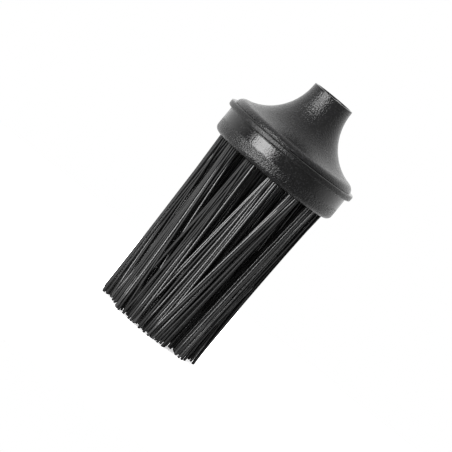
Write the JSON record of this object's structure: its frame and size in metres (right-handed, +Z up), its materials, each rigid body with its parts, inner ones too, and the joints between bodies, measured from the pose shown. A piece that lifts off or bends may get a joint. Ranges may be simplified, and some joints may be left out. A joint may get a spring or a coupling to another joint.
{
  "type": "crevice brush head",
  "caption": "Round crevice brush head: a trumpet-shaped moulded cover with a blind handle socket on a flanged block that holds rings of long stiff bristle tufts.",
  "frame": {"origin": "centre of the bristle tips, on the surface that the brush stands on", "axes": "+Z up the brush's axis, from the bristle tips to the mouth of the handle socket"},
  "size_m": [0.075, 0.075, 0.143],
  "materials": {
    "moulded_plastic": "black moulded polypropylene with a fine uneven grain",
    "bristle": "black stiff extruded filament with a satin gloss",
    "anchor_wire": "bare drawn flat wire"
  },
  "bodies": {
    "root": {"bristle_block": "moulded_plastic", "inner_tuft_01": "bristle", "inner_tuft_02": "bristle", "inner_tuft_03": "bristle", "inner_tuft_04": "bristle", "inner_tuft_05": "bristle", "middle_tuft_01": "bristle", "middle_tuft_02": "bristle", "middle_tuft_03": "bristle", "middle_tuft_04": "bristle", "middle_tuft_05": "bristle", "middle_tuft_06": "bristle", "middle_tuft_07": "bristle", "middle_tuft_08": "bristle", "middle_tuft_09": "bristle", "middle_tuft_10": "bristle", "neck_cover": "moulded_plastic", "outer_tuft_01": "bristle", "outer_tuft_02": "bristle", "outer_tuft_03": "bristle", "outer_tuft_04": "bristle", "outer_tuft_05": "bristle", "outer_tuft_06": "bristle", "outer_tuft_07": "bristle", "outer_tuft_08": "bristle", "outer_tuft_09": "bristle", "outer_tuft_10": "bristle", "outer_tuft_11": "bristle", "outer_tuft_12": "bristle", "outer_tuft_13": "bristle", "tuft_anchors": "anchor_wire"}
  },
  "joints": []
}
